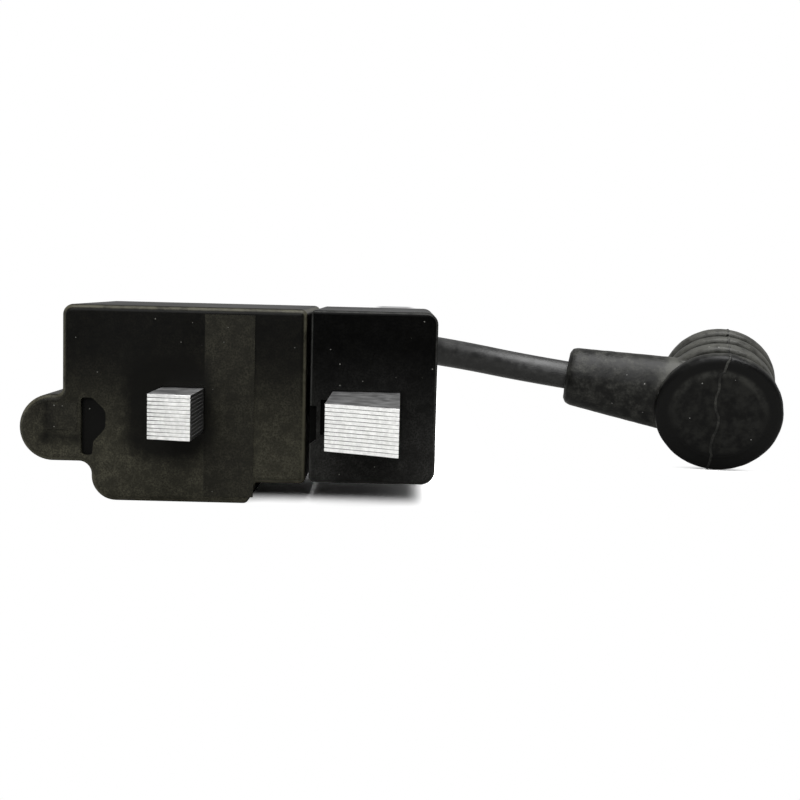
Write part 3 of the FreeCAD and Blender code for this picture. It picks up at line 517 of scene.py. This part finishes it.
# Half of the barrel's outline in the parting plane, as (radius, distance from the closed face).
BARREL_OUTLINE = [
    (0.0, 0.0), (3.0, 0.0), (5.6, 0.0), (7.8, 0.0), (8.3, 0.25), (10.1, 0.25), (10.75, 0.55), (11.0, 1.1),
    (11.0, 2.4), (10.7, 2.9), (8.8, 3.4), (8.8, 6.4),
    (9.7, 6.6), (10.1, 7.3), (10.1, 8.7), (9.7, 9.4), (8.8, 9.7), (8.8, 10.3),
    (9.7, 10.6), (10.1, 11.2), (10.1, 12.0), (9.7, 12.6), (8.8, 12.9), (8.8, 13.5),
    (9.7, 13.8), (10.1, 14.4), (10.1, 15.5), (9.7, 16.1), (8.8, 16.5), (8.5, 17.2),
]


def boot_axes():
    """The closed face's middle, the barrel axis, the sleeve axis and the way up across both."""
    points = lead_points()
    barrel = Vector(mount("plug_socket")["axis"]).normalized()
    sleeve = (points[-2] - points[-1]).normalized()
    face = points[-1] - sleeve * CROSSING_FROM_LEAD_END * MM - barrel * SLEEVE_OFFSET * MM
    up = barrel.cross(sleeve)
    if barrel.dot(Vector((0, 1, 0))) < 0:
        barrel = -barrel
    return face, barrel, sleeve, up


def soft_boot(materials):
    """The boot with rounded edges and the slight unevenness of moulded rubber."""
    mesh = NODES["plug_boot"].data.copy()
    work = bmesh.new()
    work.from_mesh(mesh)
    bmesh.ops.remove_doubles(work, verts=work.verts, dist=0.003 * MM)
    work.to_mesh(mesh)
    work.free()
    boot = new_object("plug_boot_rubber", mesh)
    remesh = boot.modifiers.new("even faces", "REMESH")
    remesh.mode = "VOXEL"
    remesh.voxel_size = 0.2 * MM
    remesh.use_smooth_shade = True
    soften = boot.modifiers.new("rounded edges", "SMOOTH")
    soften.factor = 0.5
    soften.iterations = 4
    lumps = bpy.data.textures.new("rubber lumps", "CLOUDS")
    lumps.noise_scale = 2.2 * MM
    lumps.noise_depth = 3
    uneven = boot.modifiers.new("uneven skin", "DISPLACE")
    uneven.texture = lumps
    uneven.texture_coords = "LOCAL"
    uneven.strength = 0.12 * MM
    uneven.mid_level = 0.55
    coat(boot, "boot_rubber", materials)
    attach(boot, "root")
    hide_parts("plug_boot")
    return boot


def strip_along(name, points, half_width, height, outward):
    """A low ridge with a rounded top that follows points, with an outward way at each."""
    mesh = bpy.data.meshes.new(name)
    work = bmesh.new()
    rows = []
    for index, (point, out) in enumerate(zip(points, outward)):
        ahead = points[min(index + 1, len(points) - 1)] - points[max(index - 1, 0)]
        side = ahead.normalized().cross(out).normalized()
        section = [(-1.0, -1.0), (-0.7, 0.4), (0.0, 1.0), (0.7, 0.4), (1.0, -1.0)]
        rows.append([work.verts.new(point + side * half_width * a + out * height * b) for a, b in section])
    for first, second in zip(rows, rows[1:]):
        for low, high in zip(range(4), range(1, 5)):
            work.faces.new((first[low], first[high], second[high], second[low]))
        work.faces.new((first[4], first[0], second[0], second[4]))
    for end in (rows[0], rows[-1]):
        work.faces.new(end)
    bmesh.ops.recalc_face_normals(work, faces=work.faces)
    work.to_mesh(mesh)
    work.free()
    smooth(mesh, 60)
    return new_object(name, mesh)


def seam_places():
    """Close places along the whole outline, up one side of the barrel and down the other."""
    outline = [(-radius, depth) for radius, depth in reversed(BARREL_OUTLINE)] + BARREL_OUTLINE[1:]
    places = []
    for (radius, depth), (next_radius, next_depth) in zip(outline, outline[1:]):
        steps = max(1, int(math.hypot(next_radius - radius, next_depth - depth) / SEAM_STEP))
        for step in range(steps):
            share = step / steps
            places.append((radius + (next_radius - radius) * share, depth + (next_depth - depth) * share))
    places.append(outline[-1])
    return places


def boot_seam():
    """The mould's parting line: a fine wavy ridge over the closed face and along the barrel."""
    face, barrel, sleeve, up = boot_axes()
    places = seam_places()
    points, outward = [], []
    for index, (radius, depth) in enumerate(places):
        last, following = places[max(index - 1, 0)], places[min(index + 1, len(places) - 1)]
        run = (up * (following[0] - last[0]) + barrel * (following[1] - last[1])).normalized()
        out = run.cross(sleeve).normalized()
        if out.dot(up * radius + barrel * (depth - SLEEVE_OFFSET)) < 0:
            out = -out
        on_face = max(0.0, 1.0 - depth / 0.5)
        wander = random.uniform(-0.1, 0.1) + on_face * 0.3 * math.sin(radius * 0.9)
        wander += on_face * 1.2 * math.sin(math.pi * max(radius, 0.0) / 11.0)
        points.append(face + (up * radius + barrel * depth + sleeve * wander) * MM)
        outward.append(out)
    seam = strip_along("boot_seam", points, SEAM_HALF_WIDTH * MM, SEAM_HEIGHT * MM, outward)
    seam.data.materials.append(soft_rubber("seam rubber", shade(BOOT_BLACK, 1.5), 0.5, 0.3, 0.1, 1.0))
    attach(seam, "root")
    return seam


# ---- stage -----------------------------------------------------------------------------------

def shadow_fade(look):
    """Where the paper goes plain white: 0 under the coil case and at the boot's foot, 1 beyond."""
    x, y = look.axis(0), look.axis(1)
    ahead = look.ranged(look.math("SUBTRACT", CASE_LOW.y, y), -12 * MM, 1 * MM, 0.0, 1.0)
    left = look.ranged(x, COIL_LOW.x - 24 * MM, COIL_LOW.x - 12 * MM, 1.0, 0.0)
    right = look.ranged(x, COIL_HIGH.x, COIL_HIGH.x + 12 * MM, 0.0, 1.0)
    beyond = look.math("MAXIMUM", ahead, look.math("MAXIMUM", left, right))
    face = boot_axes()[0]
    aside = look.vector("DISTANCE", look.coords, (face.x, face.y, 0.0), output="Value")
    return look.math("MINIMUM", beyond, look.ranged(aside, 3 * MM, 10 * MM, 0.0, 1.0))


def floor_material():
    """White paper: bright to the eye, shaded near the object only, and dimmer in reflections."""
    look = Look("paper floor")
    fibre = look.noise(900, 4)
    eye = look.node("ShaderNodeLightPath").outputs["Is Camera Ray"]
    paper = look.mixed(fibre, colour(0.92, 0.92, 0.92), colour(0.96, 0.96, 0.96))
    look.finish(Base_Color=look.mixed(eye, colour(0.3, 0.3, 0.29), paper), Roughness=0.9)
    look.finish(Normal=look.bump(fibre, 0.02, 0.3), Specular_IOR_Level=0.0)
    lift = look.node("ShaderNodeBsdfDiffuse")
    look.link(look.mixed(eye, colour(0.0, 0.0, 0.0), colour(0.75, 0.75, 0.75)), lift.inputs["Color"])
    lifted = look.node("ShaderNodeAddShader")
    look.link(look.shader.outputs["BSDF"], lifted.inputs[0])
    look.link(lift.outputs["BSDF"], lifted.inputs[1])
    seen = look.math("MULTIPLY", shadow_fade(look), eye)
    glow = look.node("ShaderNodeEmission")
    glow.inputs["Color"].default_value = colour(1, 1, 1)
    glow.inputs["Strength"].default_value = 1.0
    blend = look.node("ShaderNodeMixShader")
    look.link(seen, blend.inputs["Fac"])
    look.link(lifted.outputs["Shader"], blend.inputs[1])
    look.link(glow.outputs["Emission"], blend.inputs[2])
    look.link(blend.outputs["Shader"], look.tree.nodes["Material Output"].inputs["Surface"])
    return look.material


def make_floor():
    """A round sheet of paper under the object."""
    mesh = bpy.data.meshes.new("floor")
    work = bmesh.new()
    bmesh.ops.create_circle(work, cap_ends=True, cap_tris=True, segments=96, radius=1.6)
    work.to_mesh(mesh)
    work.free()
    floor = new_object("floor", mesh)
    floor.location.z = -0.00002
    floor.data.materials.append(floor_material())


def make_world():
    """Light from above, behind and the sides, and little from the front. The eye sees white."""
    world = bpy.data.worlds.new("studio")
    bpy.context.scene.world = world
    world.use_nodes = True
    nodes, links = world.node_tree.nodes, world.node_tree.links
    coords = nodes.new("ShaderNodeTexCoord")
    split = nodes.new("ShaderNodeSeparateXYZ")
    links.new(coords.outputs["Generated"], split.inputs["Vector"])
    back = nodes.new("ShaderNodeMapRange")
    back.interpolation_type = "SMOOTHSTEP"
    links.new(split.outputs["Y"], back.inputs["Value"])
    back.inputs["From Min"].default_value = -0.6
    back.inputs["From Max"].default_value = 0.5
    back.inputs["To Min"].default_value = 0.03
    back.inputs["To Max"].default_value = 0.4
    light = nodes["Background"]
    links.new(back.outputs["Result"], light.inputs["Strength"])
    light.inputs["Color"].default_value = colour(1, 1, 1)
    white = nodes.new("ShaderNodeBackground")
    white.inputs["Color"].default_value = colour(1, 1, 1)
    white.inputs["Strength"].default_value = 1.0
    path = nodes.new("ShaderNodeLightPath")
    blend = nodes.new("ShaderNodeMixShader")
    links.new(path.outputs["Is Camera Ray"], blend.inputs["Fac"])
    links.new(light.outputs["Background"], blend.inputs[1])
    links.new(white.outputs["Background"], blend.inputs[2])
    links.new(blend.outputs["Shader"], nodes["World Output"].inputs["Surface"])


def softbox(name, place, target, size, power):
    """A square area light that points at a target."""
    data = bpy.data.lights.new(name, "AREA")
    data.shape = "SQUARE"
    data.size = size
    data.energy = power
    lamp = bpy.data.objects.new(name, data)
    bpy.context.scene.collection.objects.link(lamp)
    lamp.location = place
    lamp.rotation_euler = (target - place).to_track_quat("-Z", "Y").to_euler()


def make_lights():
    """A wide box overhead, a smaller one in front and above, and a weak one at the left."""
    centre = (CASE_LOW + COIL_HIGH) / 2
    softbox("overhead", centre + Vector((0.1, -0.13, 0.5)), centre, 0.5, 6.2)
    softbox("front", centre + Vector((-0.1, -0.5, 0.26)), centre, 0.3, 1.5)
    softbox("left", centre + Vector((-0.45, -0.24, 0.1)), centre, 0.25, 0.6)


# ---- the whole scene -------------------------------------------------------------------------

def main():
    """Build the camera, the lead, every finish, the detailed pieces and the stage."""
    bpy.context.scene.view_settings.view_transform = "Standard"
    make_camera()
    materials = make_materials()
    lead = make_lead(materials)
    for entry in frame["record"]["subparts"]:
        coat(NODES[entry["node"]], entry["material_slot"], materials)
    for node in ("left_leg_laminations", "right_leg_laminations", "yoke_laminations"):
        stack = bevelled_copy(node, 0.075, 1)
        coat(stack, "core_steel", materials)
    boot = soft_boot(materials)
    seam = boot_seam()
    make_floor()
    make_world()
    make_lights()


main()
